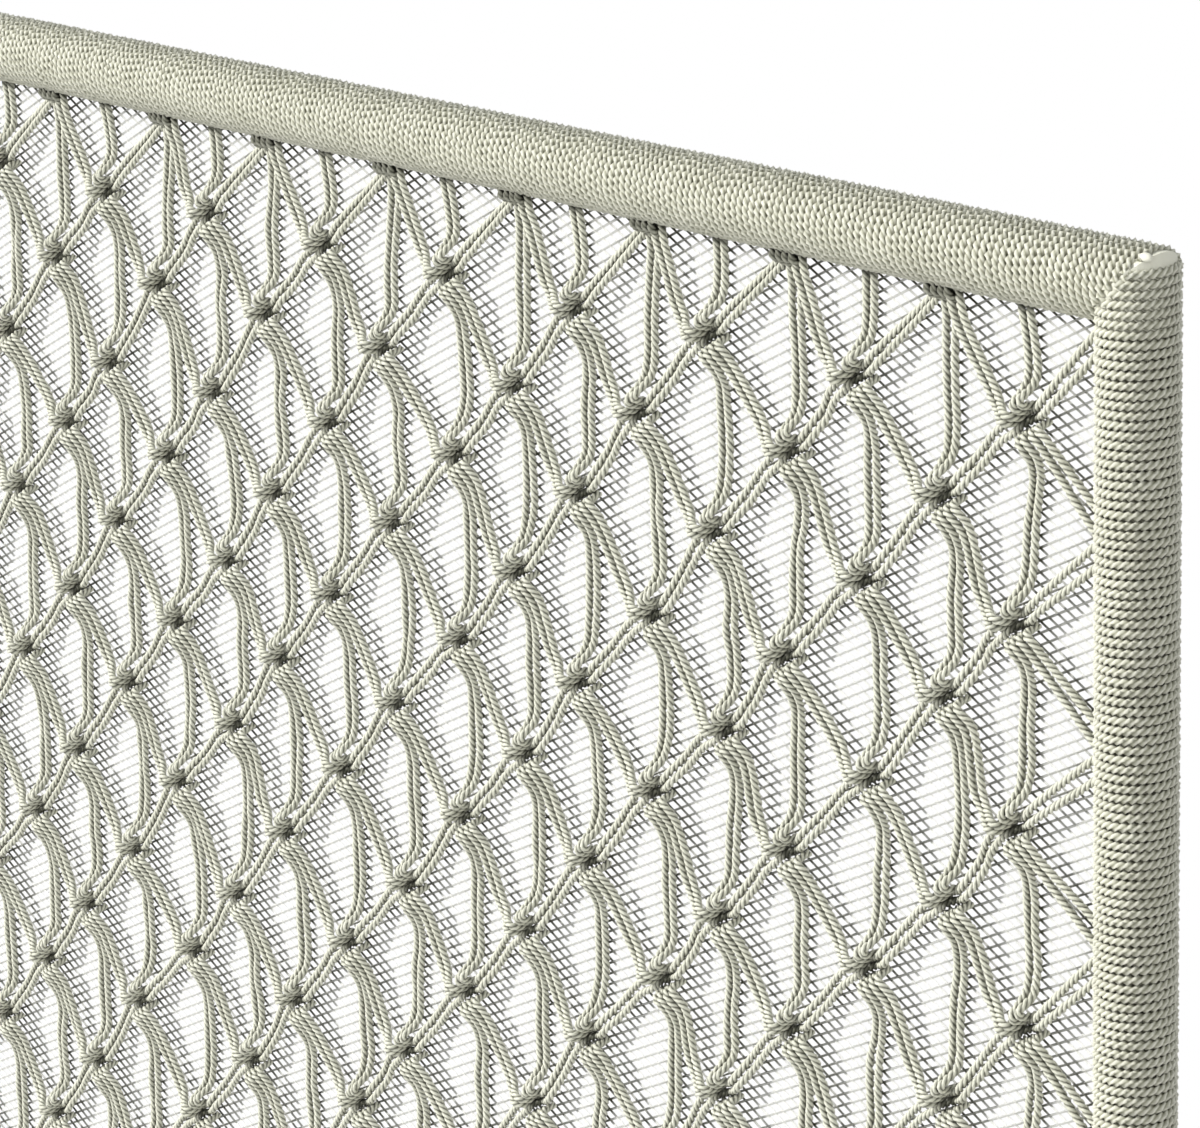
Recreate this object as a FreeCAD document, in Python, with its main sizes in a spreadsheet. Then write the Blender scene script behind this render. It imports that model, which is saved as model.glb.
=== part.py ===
# Knotted cord net panel: a mitred tube frame, wrapped all over in laid cord,
# with a hand knotted net of the same cord strung inside it and a sheet of
# expanded metal behind the net.
#
# Frame of the part: origin at the bottom centre, +X along the rails to the
# right, +Y to the back (the mesh side), +Z up.  Millimetres.

import FreeCAD, Part
import math
import os

os.makedirs("parts", exist_ok=True)
doc = FreeCAD.newDocument("CordNetPanel")
V = FreeCAD.Vector

# ---------------------------------------------------------------- dimensions
DRIVING = [
    # alias, value, what it is
    ("cord_dia", 4.0, "diameter of the laid cord, wrap and net alike"),
    ("tube_dia", 26.9, "outside diameter of the frame tube"),
    ("tube_wall", 2.0, "wall of the frame tube"),
    ("half_cols", 20, "half diamonds across the net, an even number"),
    ("half_rows", 16, "half diamonds down the net, an even number"),
    ("half_wide", 49.0, "width of half a diamond"),
    ("half_high", 44.0, "height of half a diamond"),
    ("side_tuck", 0.7, "how far the outermost line of the net is under the post wrap"),
    ("rail_tuck", 0.65, "how far the first row of the net is under the rail wrap"),
    ("knot_dia", 13.8, "diameter of a pulled up knot"),
    ("pair_cords", 2, "cords side by side between two knots"),
    ("slant_bow", 5.0, "how far a pair down to the right bows outwards"),
    ("upright_bow", 3.0, "how far an upright pair bows to the right"),
    ("cord_gap", 0.3, "clearance of a cord to what it lies against"),
    ("sheet_depth", 4.2, "Y of the front face of the expanded sheet"),
    ("sheet_thick", 1.2, "thickness of the expanded sheet"),
    ("sheet_gap", 0.2, "room between the sheet's edge and the tube"),
    ("slot_gap", 0.4, "room on each side of the sheet in the wrap"),
    ("wrap_gap", 0.05, "room between the wrap and the tube"),
    ("boss_dia", 20.0, "diameter of a weld-on threaded boss"),
    ("boss_proud", 6.0, "how far a boss stands out of the wrap"),
    ("boss_bore", 6.8, "bore of a boss, tapped M8"),
    ("boss_depth", 14.0, "depth of the tapped bore"),
    ("boss_inside", 5.95, "how far a boss goes on inside the tube"),
    ("boss_span", 640.0, "distance between the two bosses"),
]
sheet = doc.addObject("Spreadsheet::Sheet", "Dimensions")
for row, (alias, value, meaning) in enumerate(DRIVING, start=1):
    sheet.set("A%d" % row, meaning)
    sheet.set("B%d" % row, str(value))
    sheet.setAlias("B%d" % row, alias)
doc.recompute()


def size(alias):
    return float(sheet.get(alias))


CORD = size("cord_dia")
TUBE_R = size("tube_dia") / 2
WRAP_R = TUBE_R + size("wrap_gap") + CORD
COLS = int(size("half_cols"))
ROWS = int(size("half_rows"))
KNOT_R = size("knot_dia") / 2
GAP = size("cord_gap")
LAYER = CORD + GAP / 2  # the pairs of the three directions lie in three layers
NET_Y = size("sheet_depth") - GAP - max(KNOT_R, LAYER + CORD / 2)  # middle of the net
PAIR = int(size("pair_cords"))

SIDE_OFFSET = WRAP_R - size("side_tuck")
RAIL_OFFSET = WRAP_R - size("rail_tuck")
POST_X = COLS * size("half_wide") / 2 + SIDE_OFFSET
LOW_Z = size("boss_proud") + WRAP_R
HIGH_Z = LOW_Z + ROWS * size("half_high") + 2 * RAIL_OFFSET

WRAP_TEXT = "(Dimensions.tube_dia / 2 + Dimensions.wrap_gap + Dimensions.cord_dia)"
POST_TEXT = ("(Dimensions.half_cols * Dimensions.half_wide / 2 + %s - Dimensions.side_tuck)"
             % WRAP_TEXT)
RISE_TEXT = ("(Dimensions.half_rows * Dimensions.half_high / 2 + %s - Dimensions.rail_tuck)"
             % WRAP_TEXT)
LOW_TEXT = "(Dimensions.boss_proud + %s)" % WRAP_TEXT

parts = []


def finish(thing, label):
    """Gives a sub-part its node name and puts it on the list of parts."""
    thing.Label = label
    parts.append(thing)
    return thing


def bind(thing, **texts):
    for name, text in texts.items():
        thing.setExpression(name.replace("__", "."), text)


# ------------------------------------------------- frame tubes and their wrap
# A member is made lying along its own X, with the outside of the panel at its
# +Y, and is then turned into its place.  A wedge cuts both ends at 45 degrees.
def round_bar(name, half_text, radius_text):
    """A cylinder along X, longer than the member by its mitres."""
    bar = doc.addObject("Part::Cylinder", name)
    turned = FreeCAD.Rotation(V(0, 1, 0), 90)
    bar.Placement = FreeCAD.Placement(V(0, 0, 0), turned)
    bind(bar, Radius=radius_text, Height="2 * (%s + 2 * %s)" % (half_text, WRAP_TEXT))
    bind(bar, Placement__Base__x="-(%s + 2 * %s)" % (half_text, WRAP_TEXT))
    return bar


def mitre_wedge(name, half_text):
    """The block that holds a member between its two mitre planes."""
    wedge = doc.addObject("Part::Wedge", name)
    reach = "(%s + 1)" % WRAP_TEXT
    bind(wedge, Ymin="-" + reach, Ymax=reach)
    bind(wedge, Zmin="-" + reach, Zmax=reach, Z2min="-" + reach, Z2max=reach)
    bind(wedge, Xmin="-(%s - %s)" % (half_text, reach), Xmax="%s - %s" % (half_text, reach))
    bind(wedge, X2min="-(%s + %s)" % (half_text, reach), X2max="%s + %s" % (half_text, reach))
    return wedge


def cut(name, base, tool):
    result = doc.addObject("Part::Cut", name)
    result.Base = base
    result.Tool = tool
    return result


def common(name, first, second):
    result = doc.addObject("Part::MultiCommon", name)
    result.Shapes = [first, second]
    return result


def hollow_member(name, half_text, outer_text, inner_text, cuts=()):
    bar = round_bar(name + "_bar", half_text, outer_text)
    hole = round_bar(name + "_hole", half_text, inner_text)
    body = cut(name + "_hollow", bar, hole)
    for number, cutter in enumerate(cuts):
        body = cut("%s_cut_%d" % (name, number), body, cutter)
    return common(name, body, mitre_wedge(name + "_mitres", half_text))


def sheet_slot(name, half_text):
    """What the wrap leaves free where the edge of the sheet passes it."""
    box = doc.addObject("Part::Box", name)
    bind(box, Length="2 * (%s + 2 * %s)" % (half_text, WRAP_TEXT))
    bind(box, Width="%s + 1" % WRAP_TEXT)
    bind(box, Height="Dimensions.sheet_thick + 2 * Dimensions.slot_gap")
    bind(box, Placement__Base__x="-(%s + 2 * %s)" % (half_text, WRAP_TEXT))
    bind(box, Placement__Base__y="-(%s + 1)" % WRAP_TEXT)
    bind(box, Placement__Base__z="-(Dimensions.sheet_depth + Dimensions.sheet_thick"
                                 " + Dimensions.slot_gap)")
    return box


def boss_hole(name, side, gap_text):
    """The hole in the bottom rail that a boss comes through."""
    hole = doc.addObject("Part::Cylinder", name)
    turned = FreeCAD.Rotation(V(1, 0, 0), -90)
    hole.Placement = FreeCAD.Placement(V(0, 0, 0), turned)
    bind(hole, Radius="Dimensions.boss_dia / 2 + " + gap_text)
    bind(hole, Height="%s + 1" % WRAP_TEXT)
    bind(hole, Placement__Base__x="%d * Dimensions.boss_span / 2" % side)
    return hole


def place(thing, x_text, z_text, own_x, own_y):
    """Turns a member into its place, its own +Z to the front of the panel."""
    thing.Placement = FreeCAD.Placement(V(0, 0, 0), FreeCAD.Rotation(own_x, own_y, V(0, -1, 0)))
    bind(thing, Placement__Base__x=x_text, Placement__Base__z=z_text)


MEMBERS = [
    # name, half length, X of its axis, Z of its axis, its own X, its own Y
    ("top_rail", POST_TEXT, "0 mm", "%s + 2 * %s" % (LOW_TEXT, RISE_TEXT),
     V(1, 0, 0), V(0, 0, 1)),
    ("bottom_rail", POST_TEXT, "0 mm", LOW_TEXT,
     V(-1, 0, 0), V(0, 0, -1)),
    ("right_post", RISE_TEXT, POST_TEXT, "%s + %s" % (LOW_TEXT, RISE_TEXT),
     V(0, 0, -1), V(1, 0, 0)),
    ("left_post", RISE_TEXT, "-" + POST_TEXT, "%s + %s" % (LOW_TEXT, RISE_TEXT),
     V(0, 0, 1), V(-1, 0, 0)),
]
for name, half_text, x_text, z_text, own_x, own_y in MEMBERS:
    tube_cuts = []
    wrap_cuts = [sheet_slot(name + "_slot", half_text)]
    if name == "bottom_rail":
        for side in (-1, 1):
            tube_cuts.append(boss_hole("tube_hole", side, "Dimensions.wrap_gap"))
            wrap_cuts.append(boss_hole("wrap_hole", side, "Dimensions.slot_gap"))
    tube = hollow_member(name + "_tube", half_text, "Dimensions.tube_dia / 2",
                         "Dimensions.tube_dia / 2 - Dimensions.tube_wall", tube_cuts)
    wrap = hollow_member(name + "_wrap", half_text, WRAP_TEXT,
                         "Dimensions.tube_dia / 2 + Dimensions.wrap_gap", wrap_cuts)
    for thing, label in ((tube, name + "_tube"), (wrap, name + "_wrap")):
        place(thing, x_text, z_text, own_x, own_y)
        finish(thing, label)


# --------------------------------------------------------------- mount bosses
# A boss is welded into the underside of the bottom tube and tapped from below.
def mount_boss(label, side):
    outer = doc.addObject("Part::Cylinder", label + "_outer")
    bind(outer, Radius="Dimensions.boss_dia / 2")
    bind(outer, Height="Dimensions.boss_proud + Dimensions.cord_dia + Dimensions.wrap_gap"
                       " + Dimensions.tube_wall + Dimensions.boss_inside")
    bore = doc.addObject("Part::Cylinder", label + "_bore")
    bind(bore, Radius="Dimensions.boss_bore / 2", Height="Dimensions.boss_depth")
    boss = cut(label, outer, bore)
    bind(boss, Placement__Base__x="%d * Dimensions.boss_span / 2" % side)
    finish(boss, label)


mount_boss("left_mount_boss", -1)
mount_boss("right_mount_boss", 1)


# -------------------------------------------------------------- expanded sheet
# The sheet reaches through the wrap to the tubes, where its edge is welded.
panel = doc.addObject("Part::Box", "mesh_panel")
chord = "sqrt((Dimensions.tube_dia / 2) ^ 2 - Dimensions.sheet_depth ^ 2)"
half_x = "(%s - %s - Dimensions.sheet_gap)" % (POST_TEXT, chord)
half_z = "(%s - %s - Dimensions.sheet_gap)" % (RISE_TEXT, chord)
bind(panel, Length="2 * " + half_x, Height="2 * " + half_z, Width="Dimensions.sheet_thick")
bind(panel, Placement__Base__x="-" + half_x, Placement__Base__y="Dimensions.sheet_depth")
bind(panel, Placement__Base__z="%s + %s - %s" % (LOW_TEXT, RISE_TEXT, half_z))
finish(panel, "mesh_panel")


# ------------------------------------------------------------------------ net
# Knots sit where column i and row j have an even sum.  Columns count from the
# right post, rows from the top rail.
def spot(i, j):
    across = POST_X - SIDE_OFFSET - i * size("half_wide")
    height = HIGH_Z - RAIL_OFFSET - j * size("half_high")
    return V(across, NET_Y, height)


def knot(i, j):
    return Part.makeSphere(KNOT_R, spot(i, j))


def hitch(i, j):
    """A knot pulled up against the wrap of a rail."""
    rail_z = HIGH_Z if j == 0 else LOW_Z
    reach = POST_X + WRAP_R
    rail = Part.makeCylinder(WRAP_R + GAP, 2 * reach, V(-reach, 0, rail_z), V(1, 0, 0))
    return knot(i, j).cut(rail)


def stadium(centre, along, width):
    """A cord bundle's section: a flat band with round edges."""
    side = along.cross(V(0, 1, 0)).normalize()
    back = V(0, 1, 0)
    flat = (width - CORD) / 2
    half = CORD / 2
    corners = [centre + side * (flat * a) + back * (half * b)
               for a, b in ((-1, -1), (1, -1), (1, 1), (-1, 1))]
    ends = [centre + side * ((flat + half) * a) for a in (1, -1)]
    edges = [Part.LineSegment(corners[0], corners[1]).toShape(),
             Part.Arc(corners[1], ends[0], corners[2]).toShape(),
             Part.LineSegment(corners[2], corners[3]).toShape(),
             Part.Arc(corners[3], ends[1], corners[0]).toShape()]
    return Part.Face(Part.Wire(edges))


def bundle(start, end, cords, layer, bow, clear_start, clear_end):
    """Cords side by side from one knot to another, straight or as one arc.

    The clearances are how far the bundle stays from the two points."""
    start = V(start.x, NET_Y + layer, start.z)
    end = V(end.x, NET_Y + layer, end.z)
    span = end - start
    along = V(span).normalize()
    width = cords * CORD
    if bow == 0:
        first = start + along * clear_start
        length = span.Length - clear_start - clear_end
        return stadium(first, along, width).extrude(along * length)
    out = along.cross(V(0, 1, 0)).normalize()
    radius = (span.Length ** 2 / 4 + bow ** 2) / (2 * bow)
    centre = (start + end) * 0.5 + out * (bow - radius)
    turn_in = clear_start / radius
    turn_all = 2 * math.asin(span.Length / 2 / radius) - (clear_start + clear_end) / radius
    arm = start - centre
    axis = arm.cross(end - centre).normalize()
    arm = FreeCAD.Rotation(axis, math.degrees(turn_in)).multVec(arm)
    heading = axis.cross(arm).normalize()
    face = stadium(centre + arm, heading, width)
    return face.revolve(centre, axis, math.degrees(turn_all))


def off_knot(layer):
    """How far from a knot's middle a bundle in a layer has to stop."""
    inner = max(0.0, abs(layer) - CORD / 2)
    return math.sqrt((KNOT_R + GAP) ** 2 - inner ** 2)


def off_wrap(layer, offset, slope):
    """How far along a bundle of a given slope the wrap's surface is.

    offset is the distance of the net's edge line from the member's axis, and
    slope the part of the bundle's direction that points at the member."""
    reach = WRAP_R + GAP
    depth = max(0.0, abs(NET_Y + layer) - CORD / 2)
    return (math.sqrt(reach ** 2 - depth ** 2) - offset) / slope


def is_hitch(i, j):
    return j in (0, ROWS) and i % 2 == 0 and 0 < i < COLS


def is_knot(i, j):
    return 0 < i < COLS and 0 < j < ROWS and (i + j) % 2 == 0


def clear_at(i, j, layer, along, width):
    """Where a bundle has to stop short of a point of the net."""
    stops = []
    if is_knot(i, j) or is_hitch(i, j):
        stops.append(off_knot(layer))
    if j in (0, ROWS):
        slant = width / 2 * abs(along.x / along.z)
        stops.append(off_wrap(layer, RAIL_OFFSET, abs(along.z)) + slant)
    if i in (0, COLS):
        slant = width / 2 * abs(along.z / along.x)
        stops.append(off_wrap(layer, SIDE_OFFSET, abs(along.x)) + slant)
    return max(stops)


def link(i, j, k, m, layer, bow=0.0):
    """The pair of cords between two points of the net, clear of both.

    A bowed pair leans out by the same angle where it leaves and arrives."""
    start, end = spot(i, j), spot(k, m)
    span = end - start
    lean = math.degrees(2 * math.atan(2 * bow / span.Length))
    leaving = FreeCAD.Rotation(V(0, 1, 0), -lean).multVec(span).normalize()
    arriving = FreeCAD.Rotation(V(0, 1, 0), lean).multVec(span).normalize()
    width = PAIR * CORD
    return bundle(start, end, PAIR, layer, bow,
                  clear_at(i, j, layer, leaving, width), clear_at(k, m, layer, arriving, width))


def row_of_cords(j):
    """Everything that leaves row j downwards."""
    solids = []
    for i in range(0, COLS + 1):
        if (i + j) % 2 == 0:
            if i > 0:
                solids.append(link(i, j, i - 1, j + 1, 0.0, size("slant_bow")))
            if i < COLS:
                solids.append(link(i, j, i + 1, j + 1, -LAYER))
            if 0 < i < COLS and j + 2 <= ROWS:
                solids.append(link(i, j, i, j + 2, LAYER, size("upright_bow")))
            if 0 < i < COLS and j == ROWS - 1:
                solids.append(link(i, j, i, ROWS, LAYER))
        elif j == 0 and 0 < i < COLS:
            solids.append(link(i, 0, i, 1, LAYER))
    return solids


def group(label, solids):
    """A node of separate solids of one kind."""
    thing = doc.addObject("Part::Feature", label)
    thing.Shape = Part.makeCompound(solids)
    thing.Placement = FreeCAD.Placement()
    finish(thing, label)


inner_columns = range(1, COLS)
for j in range(1, ROWS):
    group("knots_row_%02d" % j, [knot(i, j) for i in inner_columns if is_knot(i, j)])
group("top_hitches", [hitch(i, 0) for i in inner_columns if is_hitch(i, 0)])
group("bottom_hitches", [hitch(i, ROWS) for i in inner_columns if is_hitch(i, ROWS)])
for j in range(ROWS):
    group("cords_row_%02d" % (j + 1), row_of_cords(j))


# ---------------------------------------------------------- checks and export
doc.recompute()
for thing in doc.Objects:
    bad = [word for word in thing.State if word in ("Invalid", "Error")]
    if bad:
        raise RuntimeError("%s is %s" % (thing.Name, bad))
for thing in parts:
    if thing.Shape.isNull() or not thing.Shape.isValid() or not thing.Shape.Solids:
        raise RuntimeError("%s has no good shape" % thing.Label)
for thing in parts:
    thing.Shape.exportStep(os.path.join("parts", thing.Label + ".step"))
print("%d nodes, %d solids" % (len(parts), sum(len(thing.Shape.Solids) for thing in parts)))
box = Part.makeCompound([thing.Shape for thing in parts]).BoundBox
print("size %.2f x %.2f x %.2f" % (box.XLength, box.YLength, box.ZLength))
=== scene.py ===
# Looks for the knotted cord net panel: real laid cord on the frame and in the
# net, and an expanded metal sheet of crossing strands behind it.
import math
import random

import bpy
from mathutils import Matrix, Vector


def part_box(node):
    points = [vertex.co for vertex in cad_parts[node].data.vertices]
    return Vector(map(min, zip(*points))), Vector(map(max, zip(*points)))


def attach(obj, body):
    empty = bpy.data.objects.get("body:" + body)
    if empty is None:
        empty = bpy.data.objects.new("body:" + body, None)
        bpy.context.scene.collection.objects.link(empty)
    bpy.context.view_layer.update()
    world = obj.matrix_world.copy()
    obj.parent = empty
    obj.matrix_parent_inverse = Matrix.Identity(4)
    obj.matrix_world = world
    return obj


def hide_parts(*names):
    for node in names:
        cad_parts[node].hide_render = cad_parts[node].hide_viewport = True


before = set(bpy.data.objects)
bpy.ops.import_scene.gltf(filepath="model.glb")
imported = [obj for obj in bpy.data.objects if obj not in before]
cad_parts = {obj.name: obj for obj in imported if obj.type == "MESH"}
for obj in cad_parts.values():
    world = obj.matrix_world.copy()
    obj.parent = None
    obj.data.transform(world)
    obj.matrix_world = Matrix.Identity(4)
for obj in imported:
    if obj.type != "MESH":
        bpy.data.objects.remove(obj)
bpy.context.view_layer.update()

MM = 0.001
random.seed(7)


# ---------------------------------------------------------------- places
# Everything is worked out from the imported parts, in metres.
def side(node, low_high, axis):
    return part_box(node)[low_high][axis]


WRAP_R = (side("right_post_wrap", 1, 1) - side("right_post_wrap", 0, 1)) / 2
TUBE_R = (side("right_post_tube", 1, 0) - side("right_post_tube", 0, 0)) / 2
POST_X = side("right_post_wrap", 1, 0) - WRAP_R
HIGH_Z = side("top_rail_wrap", 1, 2) - WRAP_R
LOW_Z = side("bottom_rail_wrap", 0, 2) + WRAP_R

KNOT_D = side("knots_row_01", 1, 1) - side("knots_row_01", 0, 1)
ROW_1 = side("knots_row_01", 1, 0) - side("knots_row_01", 0, 0)
ROW_2 = side("knots_row_02", 1, 0) - side("knots_row_02", 0, 0)
HALF_WIDE = (ROW_1 - ROW_2) / 2
COLS = round((ROW_1 - KNOT_D) / HALF_WIDE) + 2
HALF_HIGH = side("knots_row_01", 1, 2) - side("knots_row_02", 1, 2)
ROWS = 1 + sum(name.startswith("knots_row_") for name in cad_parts)
NET_Y = (side("knots_row_01", 1, 1) + side("knots_row_01", 0, 1)) / 2
ROW_0_Z = side("knots_row_01", 1, 2) - KNOT_D / 2 + HALF_HIGH
COL_0_X = side("knots_row_01", 1, 0) - KNOT_D / 2 + HALF_WIDE
SHEET_LOW, SHEET_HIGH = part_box("mesh_panel")

# The cord is drawn a little thicker than it measures, because its grooves take
# some of that away again.
CORD_R = 2.0 * MM
WIND_CORD_R = 2.4 * MM
NET_CORD_R = 2.15 * MM
STRANDS = 3
LAY = 10 * MM  # the length in which the strands go round once
LAY_WANDER = ((0.3, 8.3), (0.16, 19.0))  # turns astray, radians to the metre
GROOVE = 0.5
WIND_STEP, WIND_SIDES = LAY / 5.5, 6
NET_STEP, NET_SIDES = LAY / 7.2, 9


# ------------------------------------------------------------- node helpers
def new_tree(name, inputs):
    """A Geometry Nodes tree with a geometry input and named inputs."""
    tree = bpy.data.node_groups.new(name, "GeometryNodeTree")
    face = tree.interface
    face.new_socket(name="Geometry", in_out="INPUT", socket_type="NodeSocketGeometry")
    for label, kind in inputs:
        face.new_socket(name=label, in_out="INPUT", socket_type="NodeSocket" + kind)
    face.new_socket(name="Geometry", in_out="OUTPUT", socket_type="NodeSocketGeometry")
    source = tree.nodes.new("NodeGroupInput")
    sink = tree.nodes.new("NodeGroupOutput")
    return tree, source, sink


def math_node(tree, operation, first, second=None, third=None):
    node = tree.nodes.new("ShaderNodeMath")
    node.operation = operation
    for socket, value in zip(node.inputs, (first, second, third)):
        if value is None:
            continue
        if isinstance(value, (int, float)):
            socket.default_value = value
        else:
            tree.links.new(value, socket)
    return node.outputs[0]


def store(tree, geometry, name, kind, domain, value):
    node = tree.nodes.new("GeometryNodeStoreNamedAttribute")
    node.data_type = kind
    node.domain = domain
    node.inputs["Name"].default_value = name
    tree.links.new(geometry, node.inputs["Geometry"])
    tree.links.new(value, node.inputs["Value"])
    return node.outputs["Geometry"]


def laid_cord_tree():
    """Turns curves into three-strand laid cord."""
    tree, source, sink = new_tree("Laid cord", [
        ("Radius", "Float"), ("Lay", "Float"), ("Step", "Float"),
        ("Groove", "Float"), ("Sides", "Int"), ("Material", "Material")])
    nodes, links = tree.nodes, tree.links

    resample = nodes.new("GeometryNodeResampleCurve")
    resample.mode = "LENGTH"
    links.new(source.outputs["Geometry"], resample.inputs["Curve"])
    links.new(source.outputs["Step"], resample.inputs["Length"])

    place = nodes.new("GeometryNodeSplineParameter")
    turns = math_node(tree, "DIVIDE", place.outputs["Length"], source.outputs["Lay"])
    for wander, pace in LAY_WANDER:
        # A real lay wanders a little, so the turns don't line up for long.
        wave = math_node(tree, "MULTIPLY", place.outputs["Length"], pace)
        turns = math_node(tree, "MULTIPLY_ADD", math_node(tree, "SINE", wave), wander, turns)
    # The curve comes with how deep each point lies in a knot as its tilt, which the material turns
    # into painted shade.
    given = nodes.new("GeometryNodeInputCurveTilt")
    kept = store(tree, resample.outputs["Curve"], "hollow", "FLOAT", "POINT", given.outputs[0])
    tilt = nodes.new("GeometryNodeSetCurveTilt")
    links.new(kept, tilt.inputs["Curve"])
    links.new(math_node(tree, "MULTIPLY", turns, -2 * math.pi), tilt.inputs["Tilt"])

    ring = nodes.new("GeometryNodeCurvePrimitiveCircle")
    links.new(source.outputs["Sides"], ring.inputs["Resolution"])
    links.new(source.outputs["Radius"], ring.inputs["Radius"])
    index = nodes.new("GeometryNodeInputIndex")
    share = math_node(tree, "DIVIDE", index.outputs[0], source.outputs["Sides"])
    lobes = math_node(tree, "COSINE", math_node(tree, "MULTIPLY", share, STRANDS * 2 * math.pi))
    groove = math_node(tree, "MULTIPLY_ADD", lobes, 0.5, 0.5)
    depth = math_node(tree, "MULTIPLY", groove, source.outputs["Groove"])
    spot = nodes.new("GeometryNodeInputPosition")
    pull_in = nodes.new("ShaderNodeVectorMath")
    pull_in.operation = "SCALE"
    links.new(spot.outputs[0], pull_in.inputs[0])
    links.new(math_node(tree, "SUBTRACT", 1.0, depth), pull_in.inputs["Scale"])
    shape = nodes.new("GeometryNodeSetPosition")
    links.new(ring.outputs["Curve"], shape.inputs["Geometry"])
    links.new(pull_in.outputs[0], shape.inputs["Position"])
    profile = store(tree, shape.outputs["Geometry"], "groove", "FLOAT", "POINT", groove)

    sweep = nodes.new("GeometryNodeCurveToMesh")
    sweep.inputs["Fill Caps"].default_value = True
    links.new(tilt.outputs["Curve"], sweep.inputs["Curve"])
    links.new(profile, sweep.inputs["Profile Curve"])
    smooth = nodes.new("GeometryNodeSetShadeSmooth")
    links.new(sweep.outputs["Mesh"], smooth.inputs["Geometry"])
    real = nodes.new("GeometryNodeRealizeInstances")
    links.new(smooth.outputs["Geometry"], real.inputs["Geometry"])
    finish = nodes.new("GeometryNodeSetMaterial")
    links.new(real.outputs["Geometry"], finish.inputs["Geometry"])
    links.new(source.outputs["Material"], finish.inputs["Material"])
    links.new(finish.outputs["Geometry"], sink.inputs[0])
    return tree


def run_tree(obj, tree, values):
    """Evaluates a tree on an object and gives back a plain mesh object."""
    modifier = obj.modifiers.new("shape", "NODES")
    modifier.node_group = tree
    sockets = {item.name: item.identifier for item in tree.interface.items_tree
               if item.in_out == "INPUT"}
    for label, value in values.items():
        modifier[sockets[label]] = value
    bpy.context.view_layer.update()
    graph = bpy.context.evaluated_depsgraph_get()
    mesh = bpy.data.meshes.new_from_object(obj.evaluated_get(graph))
    name = obj.name
    old = obj.data
    bpy.data.objects.remove(obj)
    if isinstance(old, bpy.types.Curve):
        bpy.data.curves.remove(old)
    mesh.name = name
    piece = bpy.data.objects.new(name, mesh)
    bpy.context.scene.collection.objects.link(piece)
    return piece


# ------------------------------------------------------------- cord routes
def smooth_path(points, step=1.6 * MM):
    """Points along a centripetal Catmull-Rom curve through the given points."""
    ends = [points[0] * 2 - points[1]] + points + [points[-1] * 2 - points[-2]]
    line = []
    for a, b, c, d in zip(ends, ends[1:], ends[2:], ends[3:]):
        one, two, three = (math.sqrt((q - p).length) for p, q in ((a, b), (b, c), (c, d)))
        parts = max(1, round((c - b).length / step))
        for part in range(parts):
            t = part / parts
            ab = a.lerp(b, 1 + t * two / one)
            bc = b.lerp(c, t)
            cd = c.lerp(d, (t - 1) * two / three)
            near = ab.lerp(bc, (one + t * two) / (one + two))
            far = bc.lerp(cd, t * two / (two + three))
            line.append(near.lerp(far, t))
    return line + [points[-1]]


def curves_object(name, paths, depth=None):
    """One curve object with a spline for each path."""
    data = bpy.data.curves.new(name, "CURVE")
    data.dimensions = "3D"
    for path in paths:
        spline = data.splines.new("POLY")
        spline.points.add(len(path) - 1)
        flat = [number for point in path for number in (*point, 1.0)]
        spline.points.foreach_set("co", flat)
        if depth:
            spline.points.foreach_set("tilt", [depth(point) for point in path])
    obj = bpy.data.objects.new(name, data)
    bpy.context.scene.collection.objects.link(obj)
    return obj


CORD_TREE = laid_cord_tree()


def make_cord(name, paths, material, radius, step, sides, depth=None):
    """Laid cord along each path, as one mesh."""
    obj = curves_object(name, paths, depth)
    return run_tree(obj, CORD_TREE, {
        "Radius": radius, "Lay": LAY, "Step": step, "Groove": GROOVE,
        "Sides": sides, "Material": material})


# ------------------------------------------------------------- the wound frame
WIND_R = TUBE_R + CORD_R
TURN_POINTS = 28
TURN_PITCH = 2 * CORD_R * 1.003  # turns that touch, but for a hair
PAST_MITRE = 0.8 * MM  # the turns of two members meet a little past the mitre
SHORTEST_TURN = 8  # points in the shortest piece of a turn that is kept
ELBOW_R = WIND_R - 0.2 * MM
ELBOW_REACH = 18 * MM
ELBOW_SIDES = 40
CORD_END = (3.4 * MM, 1.8 * MM, 1.9 * MM)
CORD_END_RINGS, CORD_END_SIDES = 14, 24
CORD_END_LEAN = math.radians(33)
CORD_END_DEEP = WRAP_R - 1.5 * MM
CORD_END_LIFT = 0.6 * MM


def member_paths(centre, along, outward, half):
    """One long helix round a member, split where the mitre planes cut it."""
    front = along.cross(outward)
    turns = int(2 * (half + WIND_R) / TURN_PITCH)
    paths = []
    current = []
    for number in range(turns * TURN_POINTS + 1):
        angle = 2 * math.pi * number / TURN_POINTS
        reach = -(half + WIND_R) + TURN_PITCH * number / TURN_POINTS
        out = WIND_R * math.cos(angle)
        if abs(reach) <= half + out + PAST_MITRE:
            current.append(centre + along * reach + outward * out + front * (WIND_R * math.sin(angle)))
        else:
            paths.append(current)
            current = []
    paths.append(current)
    return [path for path in paths if len(path) >= SHORTEST_TURN]


def show(name, mesh, material):
    """Puts a mesh in the scene as an object with one material."""
    mesh.materials.append(material)
    obj = bpy.data.objects.new(name, mesh)
    bpy.context.scene.collection.objects.link(obj)
    return obj


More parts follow.
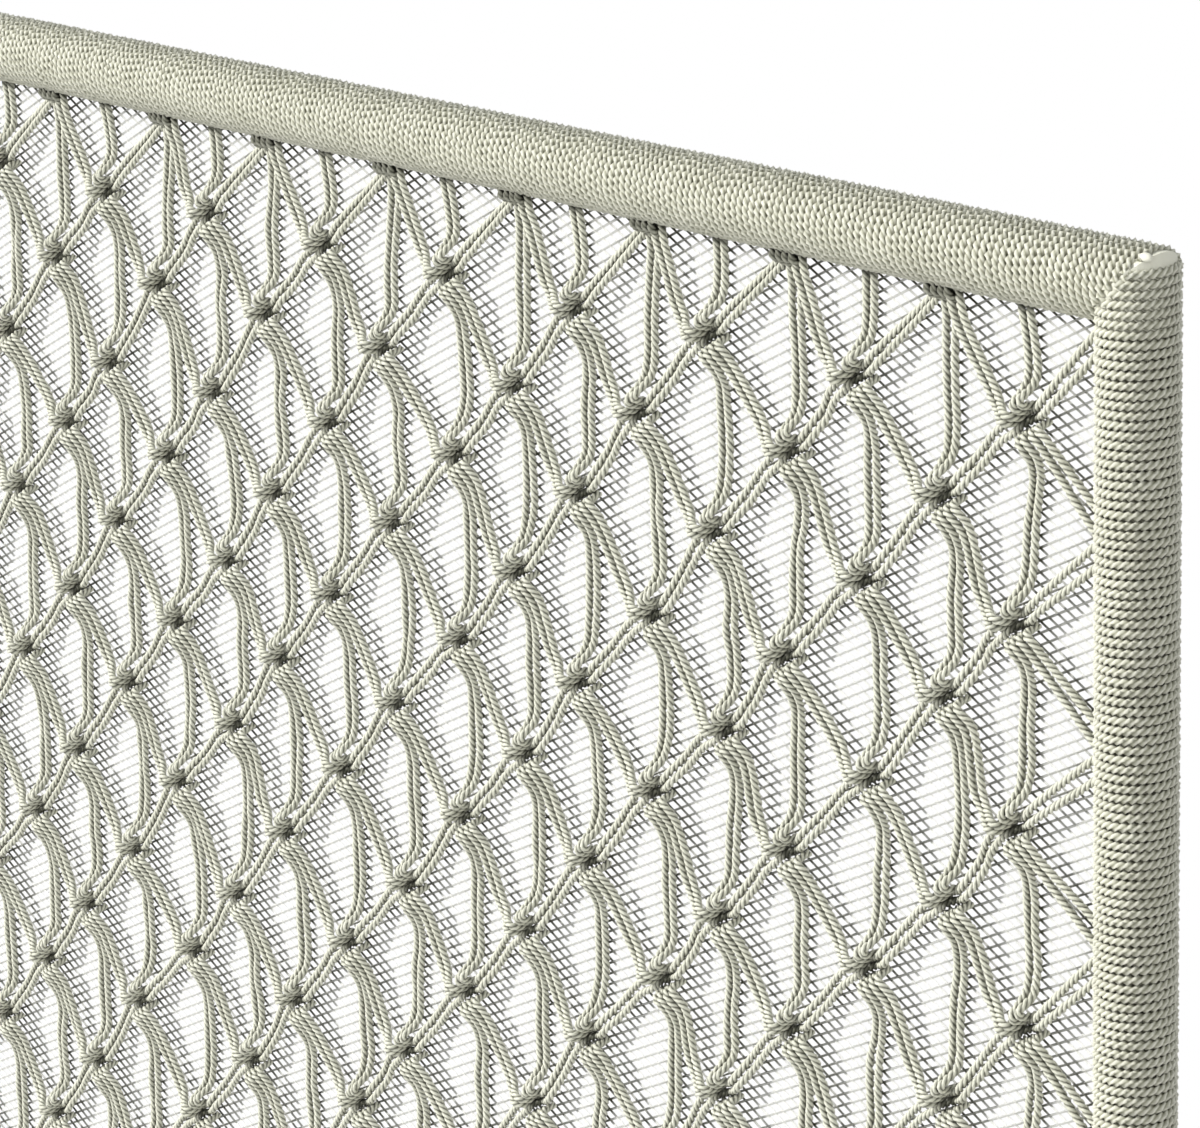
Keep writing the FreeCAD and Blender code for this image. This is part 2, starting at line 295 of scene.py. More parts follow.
def mitre_elbows(rail_z, outward, material):
    """Smooth elbows that fill the two corners of a rail under the turns."""
    points, faces = [], []
    for hand in (1, -1):
        first = len(points)
        for ring in range(3):
            for number in range(ELBOW_SIDES):
                angle = 2 * math.pi * number / ELBOW_SIDES
                out, front = ELBOW_R * math.cos(angle), ELBOW_R * math.sin(angle)
                right = (-ELBOW_REACH, out, out)[ring]
                up = (out, out, -ELBOW_REACH)[ring]
                points.append((hand * (POST_X + right), front, rail_z + outward * up))
        rings = [[first + ring * ELBOW_SIDES + n for n in range(ELBOW_SIDES)] for ring in range(3)]
        elbow = [rings[0][::-1], rings[2]]
        for low, high in zip(rings, rings[1:]):
            for n in range(ELBOW_SIDES):
                m = (n + 1) % ELBOW_SIDES
                elbow.append([low[n], low[m], high[m], high[n]])
        faces += elbow if hand * outward < 0 else [face[::-1] for face in elbow]
    mesh = bpy.data.meshes.new("mitre_elbows")
    mesh.from_pydata(points, [], faces)
    return show("mitre_elbows", mesh, material)


def cord_end(hand, rail_z, outward, material):
    """The smooth end of the cord, tucked in at a mitre: rings between two poles."""
    out = CORD_END_DEEP * math.cos(CORD_END_LEAN)
    middle = (hand * (POST_X + out), -CORD_END_DEEP * math.sin(CORD_END_LEAN),
              rail_z + outward * (out + CORD_END_LIFT))
    points = [(0, 0, 1)]
    for ring in range(1, CORD_END_RINGS):
        down = math.pi * ring / CORD_END_RINGS
        for number in range(CORD_END_SIDES):
            turn = 2 * math.pi * number / CORD_END_SIDES
            points.append((math.sin(down) * math.cos(turn), math.sin(down) * math.sin(turn),
                           math.cos(down)))
    points.append((0, 0, -1))
    last = len(points) - 1
    faces = []
    for n in range(1, CORD_END_SIDES + 1):
        m = n % CORD_END_SIDES + 1
        faces.append((0, n, m))
        for down in range(0, last - 1 - CORD_END_SIDES, CORD_END_SIDES):
            faces.append((n + down, n + down + CORD_END_SIDES, m + down + CORD_END_SIDES, m + down))
        faces.append((last, last - 1 - CORD_END_SIDES + m, last - 1 - CORD_END_SIDES + n))
    mesh = bpy.data.meshes.new("cord_end")
    mesh.from_pydata([[centre + size * value for centre, size, value in zip(middle, CORD_END, point)]
                      for point in points], [], faces)
    mesh.shade_smooth()
    return show("cord_end", mesh, material)


def join(pieces):
    """Makes the pieces one object, the first of them."""
    with bpy.context.temp_override(active_object=pieces[0], selected_editable_objects=pieces):
        bpy.ops.object.join()


def wound_member(name, node, centre, along, outward, half, material):
    """The winding of one member, and with a rail what fills its two corners."""
    paths = member_paths(centre, along, outward, half)
    piece = make_cord(name, paths, material, WIND_CORD_R, WIND_STEP, WIND_SIDES)
    if node.endswith("_rail_wrap"):
        corners = [cord_end(hand, centre.z, outward.z, material) for hand in (1, -1)]
        join([piece, mitre_elbows(centre.z, outward.z, material)] + corners)
    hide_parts(node)
    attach(piece, "root")


def wound_frame(material):
    """All four members, wound one after another round the panel."""
    middle = (HIGH_Z + LOW_Z) / 2
    rise = (HIGH_Z - LOW_Z) / 2
    x, z = Vector((1, 0, 0)), Vector((0, 0, 1))
    for member, centre, along, outward, half in (
            ("top_rail", z * HIGH_Z, x, z, POST_X),
            ("bottom_rail", z * LOW_Z, -x, -z, POST_X),
            ("right_post", x * POST_X + z * middle, -z, x, rise),
            ("left_post", -x * POST_X + z * middle, z, -x, rise)):
        wound_member(member + "_winding", member + "_wrap", centre, along, outward, half, material)


# --------------------------------------------------------------------- the net
# At a knot the pair of carrier cords runs through, up to the right, and dives
# under four working cords.  Those come from above, go over the carriers into a
# hollow, come out below it and leave down to the right: two turn straight down.
SLANT = math.atan2(HALF_HIGH, HALF_WIDE)
CARRY = Vector((math.cos(SLANT), 0, math.sin(SLANT)))
ACROSS = Vector((-math.sin(SLANT), 0, math.cos(SLANT)))
LOW = -4.8  # between the knots the cords lie back against the sheet

# Routes by a knot, in millimetres to the right, up and to the front of it.
LEAVE = (
    ((-5.8, -6.8, -4.2), (-5.0, -7.8, 0.0), (-2.8, -9.4, 4.6), (0.4, -12.0, 4.2),
     (2.0, -16.4, 1.6), (0.6, -23.4, -2.0), (-1.8, -32.0, -4.2)),
    ((-1.8, -5.1, -4.2), (-1.0, -6.1, 0.0), (1.2, -7.5, 5.2), (4.5, -9.9, 5.0),
     (6.7, -14.4, 2.4), (5.4, -21.9, -1.4), (3.0, -31.0, -4.2)),
    ((2.2, -2.9, -4.2), (3.0, -3.7, 0.0), (5.1, -4.9, 5.2), (8.4, -7.5, 4.8),
     (11.4, -12.4, 2.4)),
    ((6.0, -0.4, -4.2), (6.8, -1.2, 0.0), (8.7, -2.4, 4.8), (12.2, -5.0, 4.2),
     (15.2, -10.0, 2.0)))
ENTER = (
    ((-28.3, 8.0, -1.4), (-22.4, 1.9, -0.2), (-17.2, -1.2, 2.4),
     (-13.2, -2.8, 5.2), (-11.0, -3.0, 4.6), (-10.0, -3.2, 0.2), (-9.8, -3.2, -4.2)),
    ((-23.0, 9.2, -1.0), (-18.6, 4.6, 0.6), (-14.4, 2.3, 3.6),
     (-10.2, 1.0, 5.8), (-7.8, 0.2, 4.8), (-6.8, -0.2, 0.2), (-6.6, -0.2, -4.2)),
    ((-3.4, 17.6, -3.6), (-3.0, 13.0, -0.8), (-3.3, 9.4, 3.0),
     (-4.1, 6.2, 5.8), (-4.3, 3.8, 4.8), (-3.7, 2.9, 0.2), (-3.5, 2.8, -4.2)),
    ((1.8, 18.8, -3.8), (1.9, 14.6, -1.2), (1.4, 11.6, 2.6),
     (0.4, 8.8, 5.8), (-0.2, 6.4, 4.8), (0.0, 5.5, 0.2), (0.2, 5.4, -4.2)))
# Where the cords come out from under the top rail, at a hitch.
HANG = (
    ((1.8, 5.0, -2.0), (1.8, -4.0, -2.0), (0.0, -14.0, -4.0), (-1.8, -27.0, LOW)),
    ((9.0, 5.0, -2.0), (8.4, -4.0, -2.0), (6.0, -14.0, -4.0), (3.4, -27.0, LOW)),
    ((6.4, 4.0, 0.0), (10.0, -6.0, 1.4), (13.0, -15.0, 0.4)),
    ((12.0, 4.0, 0.0), (16.0, -6.5, 1.4), (18.5, -14.0, 0.4)))
# The pair of carriers by a knot: how far along the line, across it and forward
# its middle lies, and how far apart the two are.
THROUGH = ((26, 2.7, -2.6, 4.5), (13, -0.6, 1.6, 4.3), (8, -0.7, 0.8, 4.1), (2, 1.2, -1.6, 4.0),
           (-4, 3.2, -2.0, 4.4), (-9, 4.8, -1.6, 5.4), (-15, 4.9, -2.2, 5.2), (-26, 4.9, -2.6, 4.7))

# Between two knots an upright pair hangs through these points, in millimetres.
UPRIGHT_DOWN = (46, 58)
UPRIGHT_CLEAR = 24  # and this far above the lower knot at least
UPRIGHT_ASIDE = (-3.6, 1.6)
UPRIGHT_DRIFT = 1.8
BY_KNOT = 20  # further along than this, a pair of carriers heads for the next knot
HITCHES = (-3.0, 1.2, 5.4, 9.6)  # places of the loops under the top rail
UNEVEN_X, UNEVEN_Z = 4.5, 2.8  # how far a knot may sit off its place
KNOT_SHIFT = 3.5 * MM  # all knots sit a little to the right of the even grid


def net_spots():
    """Where each knot sits and each line meets the frame, by column and row."""
    spots = {}
    for row in range(ROWS + 1):
        for column in range(COLS + 1):
            inner = 0 < column < COLS
            dx = random.uniform(-UNEVEN_X, UNEVEN_X) * MM if inner else 0
            dz = random.uniform(-UNEVEN_Z, UNEVEN_Z) * MM if 0 < row < ROWS else 0
            spot = Vector((COL_0_X - column * HALF_WIDE + dx, NET_Y, ROW_0_Z - row * HALF_HIGH + dz))
            if inner:
                spot.x += KNOT_SHIFT
            spots[column, row] = spot
    return spots


SPOTS = net_spots()


def inside(column, row):
    return 0 < column < COLS and 0 < row < ROWS


def by(centre, right, up, forward, wobble=0.25):
    """A point by a knot, in millimetres."""
    shake = [random.uniform(-wobble, wobble) for _ in range(3)]
    return centre + Vector((right + shake[0], -forward - shake[1], up + shake[2])) * MM


def route(centre, points):
    """Points by a knot, from one of the tables or a list like them."""
    return [by(centre, *point) for point in points]


def band(column, row):
    """Two cords down to the next knot on the right."""
    top, foot = SPOTS[column, row], SPOTS[column - 1, row + 1]
    paths = []
    for n in (0, 1):
        if inside(column, row):
            start = LEAVE[2 + n]
        elif column < COLS:
            start = HANG[2 + n]
        else:
            start = ((-5, 8 * n, LOW), (6, 8 * n - 6, LOW))
        aside = 4.4 * n
        if row + 1 == ROWS:
            end = ((aside - 14, 9, -2.5), (aside - 7, -1, -3.5), (aside - 3, -9, -4))
        elif column == 1:
            end = ((-9, 10 * n - 0.5, LOW), (-2, 9.5 * n - 5, LOW), (5, 9.5 * n - 10, LOW))
        else:
            end = ENTER[n]
        paths.append(smooth_path(route(top, start) + route(foot, end)))
    return paths


def upright(column, row, foot_row):
    """Two cords straight down to the knot two rows below."""
    top, foot = SPOTS[column, row], SPOTS[column, foot_row]
    fall = (top.z - foot.z) / MM
    drift = random.uniform(-UPRIGHT_DRIFT, UPRIGHT_DRIFT)
    paths = []
    for n in (0, 1):
        if inside(column, row):
            start = route(top, LEAVE[n])
        elif column % 2 == 0:
            start = route(top, HANG[n])
        else:
            start = route(top, ((5.2 * n - 5, 5, -3), (5.2 * n - 5, -8, LOW)))
        if foot_row == ROWS:
            if column % 2:
                # The way down to the rail is short, so the last bend is left out.
                start = start[:5]
            end = route(foot, ((5 * n - 2.2, 14, LOW), (4.6 * n - 2, 2, -4), (4.2 * n - 1.6, -9, -4)))
        else:
            end = route(foot, ENTER[2 + n])
        # Both ends lean with the line from one knot to the other.
        lean = (foot.x - top.x) / fall
        for ends, centre in ((start, top), (end, foot)):
            for point in ends:
                point.x += (centre.z - point.z) / MM * lean
        middle = []
        for down in UPRIGHT_DOWN:
            if down < fall - UPRIGHT_CLEAR:
                t = down / fall
                aside = UPRIGHT_ASIDE[n] + drift * math.sin(math.pi * t)
                middle.append(by(top.lerp(foot, t), aside, 0, LOW, 0.5))
        paths.append(smooth_path(start + middle + end))
    return paths


def hitch_loops(column):
    """The small loops that show under the top rail where cords are hitched."""
    loops = []
    for x in HITCHES:
        points = ((x - 1, 6, -1), (x, 1.5, 3.0), (x + 0.8, -1.6, 3.6),
                  (x + 1.4, -3.6, 1.0), (x + 1.8, -2.6, -2.4))
        loops.append(smooth_path(route(SPOTS[column, 0], points)))
    return loops


def carriers(column, row):
    """Two cords that run down to the left through all the knots of a line."""
    line = []
    while column <= COLS and row <= ROWS:
        line.append((column, row))
        column, row = column + 1, row + 1
    paths = []
    for hand in (1, -1):
        points = []
        for number, key in enumerate(line):
            spot = SPOTS[key]
            if inside(*key):
                higher, lower = line[number - 1], line[number + 1]
                for along, across, forward, apart in THROUGH:
                    aside = across + hand * apart / 2
                    way = CARRY
                    if abs(along) > BY_KNOT:
                        # Towards the frame no point is needed there.
                        other = higher if along > 0 else lower
                        if not inside(*other):
                            continue
                        way = (SPOTS[other] - spot).normalized() * math.copysign(1, along)
                    centre = spot + (way * along + ACROSS * aside) * MM
                    points.append(by(centre, 0, 0, forward, 0.2))
            elif key[0] == 0:
                points += route(spot, ((5, 2.5 * hand + 0.5, LOW), (-4, 4.4 * hand - 7, LOW)))
            elif number == 0:
                x = -2 * hand
                points += route(spot, ((4 + x, 5, -3), (-3 + x, -3, LOW), (-10 + x, -9, LOW)))
            else:
                x, z = -2.2 * hand, 2 * hand
                points += route(spot, ((4 + x, 6 + z, LOW), (-5 + x, -2 + z, LOW)))
        paths.append(smooth_path(points, 3 * MM))
    return paths


# The hollow of a knot and the band under the top rail where shade is painted on the cords.
HOLLOW_MIDDLE = Vector((-1.2, 0, -0.6))
HOLLOW_LONG, HOLLOW_WIDE, HOLLOW_FRONT = 8.0, 4.0, 3.4
RAIL_SHADE = 4.5 * MM


def knot_shade_depth(point):
    """How deep a point lies in a knot or under the top rail, from 0 to 1: how much shade is painted on
    the cord there.
    """
    under_rail = (point.z - HIGH_Z + WRAP_R + RAIL_SHADE) / RAIL_SHADE
    if under_rail > 0:
        return min(0.8, under_rail)
    column = round((COL_0_X - point.x) / HALF_WIDE)
    row = round((ROW_0_Z - point.z) / HALF_HIGH)
    if not inside(column, row) or (column + row) % 2:
        return 0.0
    local = (point - SPOTS[column, row]) / MM - HOLLOW_MIDDLE
    along, across = local.dot(CARRY) / HOLLOW_LONG, local.dot(ACROSS) / HOLLOW_WIDE
    near = max(0.0, 1 - along * along - across * across)
    behind = (HOLLOW_FRONT + local.y) / HOLLOW_FRONT
    return min(1.0, 2.2 * near) * min(1.0, max(0.0, behind))


def add_net_piece(name, paths, nodes, material):
    piece = make_cord(name, paths, material, NET_CORD_R, NET_STEP, NET_SIDES, knot_shade_depth)
    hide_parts(*nodes)
    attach(piece, "root")


def working_cords(material):
    """The cords that start in one row of knots, row by row."""
    for row in range(ROWS):
        paths = []
        for column in range(COLS + 1):
            if (column + row) % 2 == 0:
                if column > 0:
                    paths += band(column, row)
                if 0 < column < COLS:
                    paths += upright(column, row, min(row + 2, ROWS))
                    if row == 0:
                        paths += hitch_loops(column)
            elif row == 0:
                paths += upright(column, 0, 1)
        number = "_row_%02d" % (row + 1)
        add_net_piece("working_cords" + number, paths, ["cords" + number], material)


def carrier_cords(material):
    """All the carriers, in a right and a left half that share the knots' nodes."""
    starts = [(0, row) for row in range(0, ROWS, 2)] + [(column, 0) for column in range(2, COLS, 2)]
    lines = [carriers(*start) for start in starts]
    nodes = ["knots_row_%02d" % row for row in range(1, ROWS)] + ["top_hitches", "bottom_hitches"]
    split, node_split = len(lines) // 2, len(nodes) // 2
    for half, some, replaced in (("right", lines[:split], nodes[:node_split]),
                                 ("left", lines[split:], nodes[node_split:])):
        paths = [path for line in some for path in line]
        add_net_piece("carrier_cords_" + half, paths, replaced, material)


# --------------------------------------------------------- the expanded sheet
STRAND_PITCH = 5.15 * MM
STRAND_SLOPE = 0.486
STRAND_WIDTH = 0.95 * MM
STRAND_THICKNESS = 0.5 * MM
SHORTEST_STRAND = 2 * MM
SHEET_EDGE = 0.5 * MM  # the strands stop short of the edge, so no corner stands out


def strand_tree():
    """Rows of slanting strands, each cut to the edge of the sheet."""
    tree, source, sink = new_tree("Expanded sheet", [
        ("Half width", "Float"), ("Half height", "Float"), ("Pitch", "Float"),
        ("Slope", "Float"), ("Strand width", "Float"), ("Strand thickness", "Float"),
        ("Roll", "Float"), ("Count", "Int"), ("Material", "Material")])
    nodes, links = tree.nodes, tree.links
    wide, high = source.outputs["Half width"], source.outputs["Half height"]
    slope = source.outputs["Slope"]

    def work(operation, first, second=None, third=None):
        return math_node(tree, operation, first, second, third)

    # A strand crosses the middle of the sheet at its own level, and runs from
    # edge to edge: where it meets the foot and the head, or else the sides.
    index = nodes.new("GeometryNodeInputIndex").outputs[0]
    from_middle = work("SUBTRACT", index, work("MULTIPLY", source.outputs["Count"], 0.5))
    level = work("MULTIPLY", from_middle, source.outputs["Pitch"])
    at_foot = work("DIVIDE", work("SUBTRACT", work("MULTIPLY", high, -1), level), slope)
    at_head = work("DIVIDE", work("SUBTRACT", high, level), slope)
    left = work("MAXIMUM", work("MINIMUM", at_foot, at_head), work("MULTIPLY", wide, -1))
    right = work("MINIMUM", work("MAXIMUM", at_foot, at_head), wide)
    centre = work("MULTIPLY", work("ADD", left, right), 0.5)
    angle = work("ARCTANGENT", slope)
    length = work("DIVIDE", work("SUBTRACT", right, left), work("COSINE", angle))

    points = nodes.new("GeometryNodePoints")
    links.new(source.outputs["Count"], points.inputs["Count"])
    spot = nodes.new("ShaderNodeCombineXYZ")
    links.new(centre, spot.inputs["X"])
    links.new(work("MULTIPLY_ADD", centre, slope, level), spot.inputs["Z"])
    links.new(spot.outputs[0], points.inputs["Position"])

    # The size is kept on the points before any of them is removed, because the
    # numbers of the points change then.
    size = nodes.new("ShaderNodeCombineXYZ")
    links.new(length, size.inputs["X"])
    links.new(source.outputs["Strand thickness"], size.inputs["Y"])
    links.new(source.outputs["Strand width"], size.inputs["Z"])
    held = store(tree, points.outputs[0], "size", "FLOAT_VECTOR", "POINT", size.outputs[0])
    drop = nodes.new("GeometryNodeDeleteGeometry")
    links.new(held, drop.inputs["Geometry"])
    links.new(work("LESS_THAN", length, SHORTEST_STRAND), drop.inputs["Selection"])
    read = nodes.new("GeometryNodeInputNamedAttribute")
    read.data_type = "FLOAT_VECTOR"
    read.inputs["Name"].default_value = "size"

    bar = nodes.new("GeometryNodeMeshCube")
    bar.inputs["Size"].default_value = (1, 1, 1)
    turn = nodes.new("ShaderNodeCombineXYZ")
    links.new(source.outputs["Roll"], turn.inputs["X"])
    links.new(work("MULTIPLY", angle, -1), turn.inputs["Y"])
    place = nodes.new("GeometryNodeInstanceOnPoints")
    links.new(drop.outputs[0], place.inputs["Points"])
    links.new(bar.outputs["Mesh"], place.inputs["Instance"])
    links.new(turn.outputs[0], place.inputs["Rotation"])
    links.new(read.outputs["Attribute"], place.inputs["Scale"])
    real = nodes.new("GeometryNodeRealizeInstances")
    links.new(place.outputs["Instances"], real.inputs["Geometry"])
    finish = nodes.new("GeometryNodeSetMaterial")
    links.new(real.outputs["Geometry"], finish.inputs["Geometry"])
    links.new(source.outputs["Material"], finish.inputs["Material"])
    links.new(finish.outputs["Geometry"], sink.inputs[0])
    return tree


def expanded_sheet(material):
    """Two crossing families of strands make the diamonds of the sheet."""
    tree = strand_tree()
    half_x = (SHEET_HIGH[0] - SHEET_LOW[0]) / 2 - SHEET_EDGE
    half_z = (SHEET_HIGH[2] - SHEET_LOW[2]) / 2 - SHEET_EDGE
    centre_z = (SHEET_HIGH[2] + SHEET_LOW[2]) / 2
    count = 2 * int((half_z + STRAND_SLOPE * half_x) / STRAND_PITCH) + 1
    families = []
    for name, slope, roll, depth in (("rising", STRAND_SLOPE, 0.6, 0.65 * MM),
                                     ("falling", -STRAND_SLOPE, -0.64, 0.75 * MM)):
        seed = bpy.data.objects.new(name + "_strands", bpy.data.meshes.new(name + "_strands"))
        bpy.context.scene.collection.objects.link(seed)
        strands = run_tree(seed, tree, {
            "Half width": half_x, "Half height": half_z, "Pitch": STRAND_PITCH,
            "Slope": slope, "Strand width": STRAND_WIDTH, "Strand thickness": STRAND_THICKNESS,
            "Roll": roll, "Count": count, "Material": material})
        strands.data.transform(Matrix.Translation((0, SHEET_LOW[1] + depth, centre_z)))
        families.append(strands)
    join(families)
    sheet = families[0]
    sheet.name = "expanded_metal_sheet"
    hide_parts("mesh_panel")
    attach(sheet, "root")


# ------------------------------------------------------------------- materials
PAINTED_GAP_SHADE = (0.06, 0.06, 0.03)  # painted shade: the colour a gap between cords goes towards
# Painted shade deep in a knot and under the top rail.
PAINTED_KNOT_SHADE = (0.03, 0.032, 0.014)
CORD_REACH, SHEET_REACH = 6 * MM, 12 * MM  # how near a cord has to be for painted shade


def new_material(name):
    material = bpy.data.materials.new(name)
    material.use_nodes = True
    return material, material.node_tree, material.node_tree.nodes["Principled BSDF"]


def paint_occlusion_shade(tree, shader, colour, reach, amount):
    """Painted shade: gaps and places behind other cords go darker in colour; colour is a value or a
    socket.
    """
    # Ambient occlusion sets where the shade is painted into the colour.
    hollow = tree.nodes.new("ShaderNodeAmbientOcclusion")
    hollow.samples = 6
    hollow.inputs["Distance"].default_value = reach
    dusk = tree.nodes.new("ShaderNodeMix")
    dusk.data_type = "RGBA"
    dusk.blend_type = "MULTIPLY"
    dusk.inputs["B"].default_value = (*PAINTED_GAP_SHADE, 1)
    if isinstance(colour, tuple):
        dusk.inputs["A"].default_value = (*colour, 1)
    else:
        tree.links.new(colour, dusk.inputs["A"])
    shut = math_node(tree, "POWER", math_node(tree, "SUBTRACT", 1.0, hollow.outputs["AO"]), 1.5)
    tree.links.new(math_node(tree, "MULTIPLY", shut, amount), dusk.inputs["Factor"])
    tree.links.new(dusk.outputs["Result"], shader.inputs["Base Color"])


def cord_material(name, light, groove_shade, amount):
    """Pale laid cord with painted shade: darker in the grooves and knots; fine fibres, a little
    uneven.
    """
    material, tree, shader = new_material(name)
    nodes, links = tree.nodes, tree.links
    place = nodes.new("ShaderNodeTexCoord")

    # Painted shade: the grooves between the strands are coloured darker.
    groove = nodes.new("ShaderNodeAttribute")
    groove.attribute_name = "groove"
    shade = nodes.new("ShaderNodeMix")
    shade.data_type = "RGBA"
    shade.inputs["A"].default_value = (*light, 1)
    shade.inputs["B"].default_value = (*groove_shade, 1)
    deep = math_node(tree, "POWER", groove.outputs["Fac"], 1.4)
    links.new(math_node(tree, "MULTIPLY", deep, 0.9), shade.inputs["Factor"])

    # Painted shade: deep in a knot and under the top rail the cord goes nearly black.
    knot = nodes.new("ShaderNodeAttribute")
    knot.attribute_name = "hollow"
    dim = nodes.new("ShaderNodeMix")
    dim.data_type = "RGBA"
    dim.inputs["B"].default_value = (*PAINTED_KNOT_SHADE, 1)
    links.new(math_node(tree, "MULTIPLY", knot.outputs["Fac"], 0.88), dim.inputs["Factor"])
    links.new(shade.outputs["Result"], dim.inputs["A"])

    patches = nodes.new("ShaderNodeTexNoise")
    patches.inputs["Scale"].default_value = 60
    patches.inputs["Detail"].default_value = 3
    links.new(place.outputs["Object"], patches.inputs["Vector"])
    ramp = nodes.new("ShaderNodeValToRGB")
    ramp.color_ramp.elements[0].position = 0.3
    ramp.color_ramp.elements[0].color = (0.88, 0.88, 0.86, 1)
    ramp.color_ramp.elements[1].position = 0.7
    ramp.color_ramp.elements[1].color = (1, 1, 1, 1)
    links.new(patches.outputs["Fac"], ramp.inputs["Fac"])
    uneven = nodes.new("ShaderNodeMix")
    uneven.data_type = "RGBA"
    uneven.blend_type = "MULTIPLY"
    uneven.inputs["Factor"].default_value = 1
    links.new(dim.outputs["Result"], uneven.inputs["A"])
    links.new(ramp.outputs["Color"], uneven.inputs["B"])
    paint_occlusion_shade(tree, shader, uneven.outputs["Result"], CORD_REACH, amount)

    fibres = nodes.new("ShaderNodeTexNoise")
    fibres.inputs["Scale"].default_value = 1400
    fibres.inputs["Detail"].default_value = 2
    links.new(place.outputs["Object"], fibres.inputs["Vector"])
    bump = nodes.new("ShaderNodeBump")
    bump.inputs["Strength"].default_value = 0.35
    bump.inputs["Distance"].default_value = 0.3 * MM
    links.new(fibres.outputs["Fac"], bump.inputs["Height"])
    links.new(bump.outputs["Normal"], shader.inputs["Normal"])
    shader.inputs["Roughness"].default_value = 0.62
    shader.inputs["Specular IOR Level"].default_value = 0.35
    return material


def painted_metal(name, colour, roughness, amount=0):
    """Powder coat: a fine orange peel, an uneven gloss and shade under the cords, painted into the
    colour.
    """
    material, tree, shader = new_material(name)
    nodes, links = tree.nodes, tree.links
    place = nodes.new("ShaderNodeTexCoord")
    peel = nodes.new("ShaderNodeTexNoise")
    peel.inputs["Scale"].default_value = 900
    links.new(place.outputs["Object"], peel.inputs["Vector"])
    bump = nodes.new("ShaderNodeBump")
    bump.inputs["Strength"].default_value = 0.15
    bump.inputs["Distance"].default_value = 0.1 * MM
    links.new(peel.outputs["Fac"], bump.inputs["Height"])
    links.new(bump.outputs["Normal"], shader.inputs["Normal"])
    gloss = nodes.new("ShaderNodeMapRange")
    gloss.inputs["To Min"].default_value = roughness - 0.06
    gloss.inputs["To Max"].default_value = roughness + 0.06
    links.new(peel.outputs["Fac"], gloss.inputs["Value"])
    links.new(gloss.outputs["Result"], shader.inputs["Roughness"])
    shader.inputs["Base Color"].default_value = (*colour, 1)
    # Painted shade: near the cords the colour goes darker.
    if amount:
        paint_occlusion_shade(tree, shader, colour, SHEET_REACH, amount)
    return material


def dress_cad(materials):
    """The CAD parts that stay get their finish."""
    for node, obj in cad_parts.items():
        for ending, material in materials.items():
            if node.endswith(ending):
                for slot in obj.material_slots:
                    slot.material = material


# ------------------------------------------------------ stage, light and camera
FLOOR = 30  # metres from the middle to an edge
BOUNCE = 0.6  # what the sunlit floor throws back
SKY = 0.22
SKY_COLOUR = (0.88, 0.93, 1)
LAMPS = (  # name, strength, width in degrees, heading
    ("key", 3.8, 1.5, (0.56, 0.71, -0.43)),
    ("fill", 1.35, 60, (-0.75, 0.62, -0.2)),
    ("back_fill", 1.3, 60, (0.3, -0.9, -0.3)))
LAMP_COLOUR = (1, 0.99, 0.97)
CAMERA_OFF = Vector((1388.3, -1333.5, 401.2)) * MM  # from the top right corner
CAMERA_LENS = 150
CAMERA_YAW, CAMERA_DOWN, CAMERA_ROLL = (math.radians(turn) for turn in (52.5, 14.89, -1.42))


def stage():
    """A pale floor that shines a little, so the panel is lit from below too."""
    corners = [(-FLOOR, -FLOOR, 0), (FLOOR, -FLOOR, 0), (FLOOR, FLOOR, 0), (-FLOOR, FLOOR, 0)]
    floor = bpy.data.meshes.new("floor")
    floor.from_pydata(corners, [], [(0, 1, 2, 3)])
    material, tree, shader = new_material("pale_floor")
    shader.inputs["Base Color"].default_value = (0, 0, 0, 1)
    shader.inputs["Specular IOR Level"].default_value = 0
    shader.inputs["Emission Color"].default_value = (1, 1, 1, 1)
    path = tree.nodes.new("ShaderNodeLightPath")
    glow = math_node(tree, "MULTIPLY_ADD", path.outputs["Is Camera Ray"], 1 - BOUNCE, BOUNCE)
    tree.links.new(glow, shader.inputs["Emission Strength"])
    obj = show("floor", floor, material)


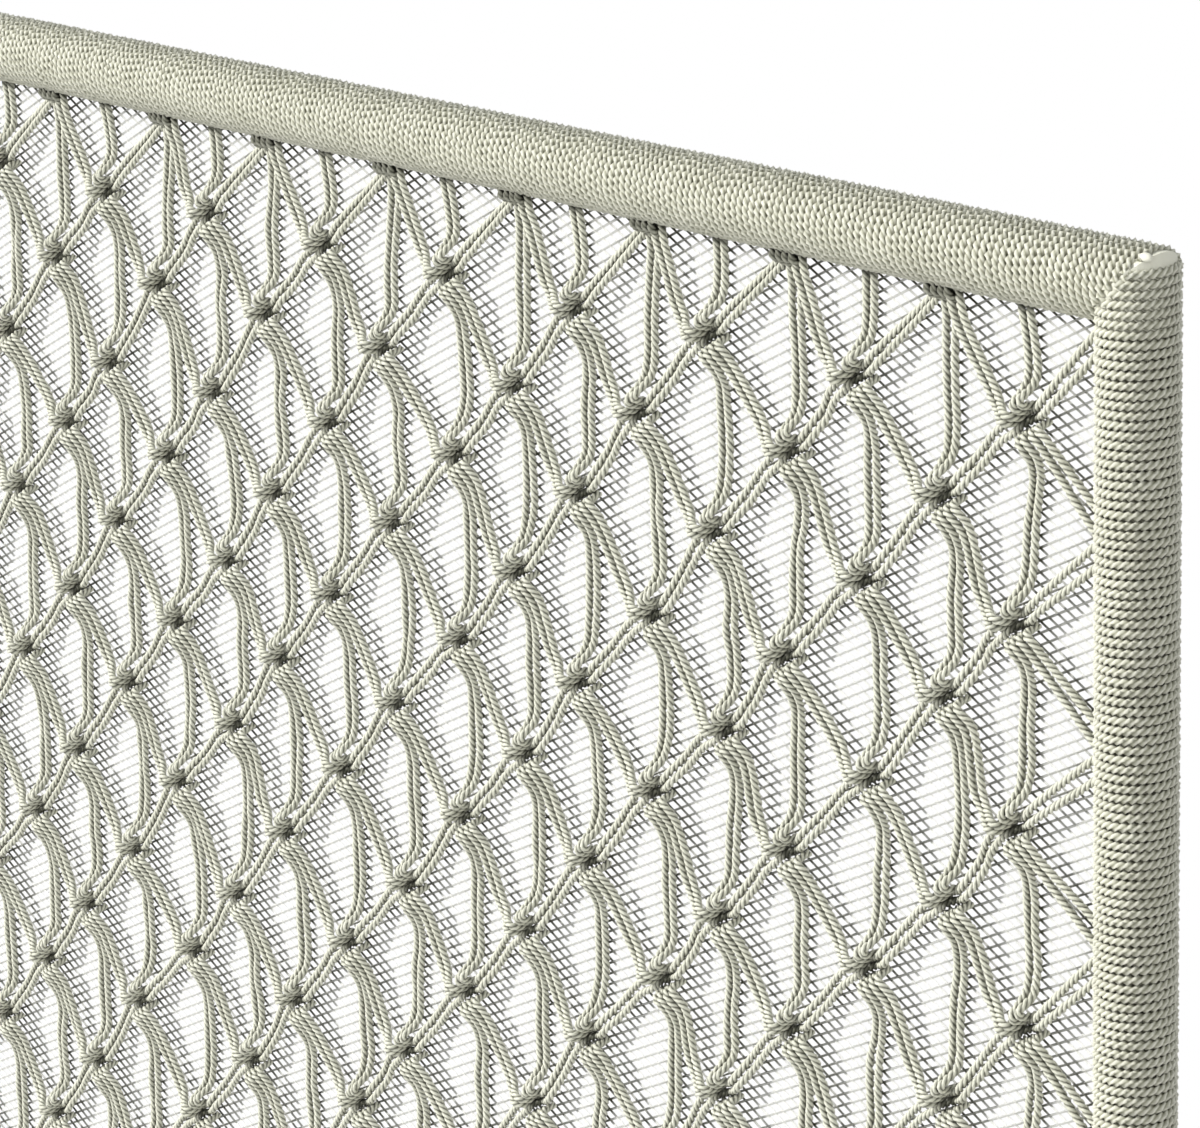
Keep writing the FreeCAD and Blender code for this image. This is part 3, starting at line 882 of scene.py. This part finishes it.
def sky():
    """White where the camera sees it, and a dim cool light on the panel."""
    world = bpy.data.worlds.new("studio")
    bpy.context.scene.world = world
    world.use_nodes = True
    nodes, links = world.node_tree.nodes, world.node_tree.links
    dim = nodes["Background"]
    dim.inputs["Color"].default_value = (*SKY_COLOUR, 1)
    dim.inputs["Strength"].default_value = SKY
    white = nodes.new("ShaderNodeBackground")
    white.inputs["Color"].default_value = (1, 1, 1, 1)
    path = nodes.new("ShaderNodeLightPath")
    mix = nodes.new("ShaderNodeMixShader")
    links.new(path.outputs["Is Camera Ray"], mix.inputs["Fac"])
    links.new(dim.outputs[0], mix.inputs[1])
    links.new(white.outputs[0], mix.inputs[2])
    links.new(mix.outputs[0], nodes["World Output"].inputs["Surface"])


def lights():
    for name, strength, width, heading in LAMPS:
        light = bpy.data.lights.new(name, "SUN")
        light.energy = strength
        light.angle = math.radians(width)
        light.color = LAMP_COLOUR
        lamp = bpy.data.objects.new(name, light)
        lamp.rotation_euler = Vector(heading).to_track_quat("-Z", "Y").to_euler()
        bpy.context.scene.collection.objects.link(lamp)


def camera():
    """The camera stands to the right, in front and above the top right corner."""
    data = bpy.data.cameras.new("camera")
    data.sensor_width = 36
    data.lens = CAMERA_LENS
    data.clip_end = 100
    obj = bpy.data.objects.new("camera", data)
    obj.location = Vector((POST_X, 0, HIGH_Z)) + CAMERA_OFF
    tilt = Matrix.Rotation(math.pi / 2 - CAMERA_DOWN, 3, "X")
    turn = Matrix.Rotation(CAMERA_YAW, 3, "Z") @ tilt @ Matrix.Rotation(CAMERA_ROLL, 3, "Z")
    obj.rotation_euler = turn.to_euler()
    bpy.context.scene.collection.objects.link(obj)
    bpy.context.scene.camera = obj


# ------------------------------------------------------------------- the panel
# Each cord colour comes with a painted shade colour for its grooves and an amount of painted shade for
# its gaps.
CORD = cord_material("sage_cord", (0.90, 0.895, 0.775), (0.25, 0.25, 0.155), 0.6)
NET_CORD = cord_material("sage_net_cord", (0.93, 0.93, 0.80), (0.06, 0.06, 0.03), 1.2)
PAINT = painted_metal("sage_paint", (0.64, 0.62, 0.50), 0.42)
# The last number is how much shade is painted on the sheet near the cords.
SHEET_PAINT = painted_metal("off_white_paint", (0.79, 0.79, 0.76), 0.45, 2.8)
STEEL = painted_metal("boss_steel", (0.55, 0.55, 0.53), 0.35)

camera()
sky()
lights()
stage()
wound_frame(CORD)
working_cords(NET_CORD)
carrier_cords(NET_CORD)
expanded_sheet(SHEET_PAINT)
dress_cad({"_tube": PAINT, "_boss": STEEL})
bpy.context.scene.view_settings.view_transform = "Standard"
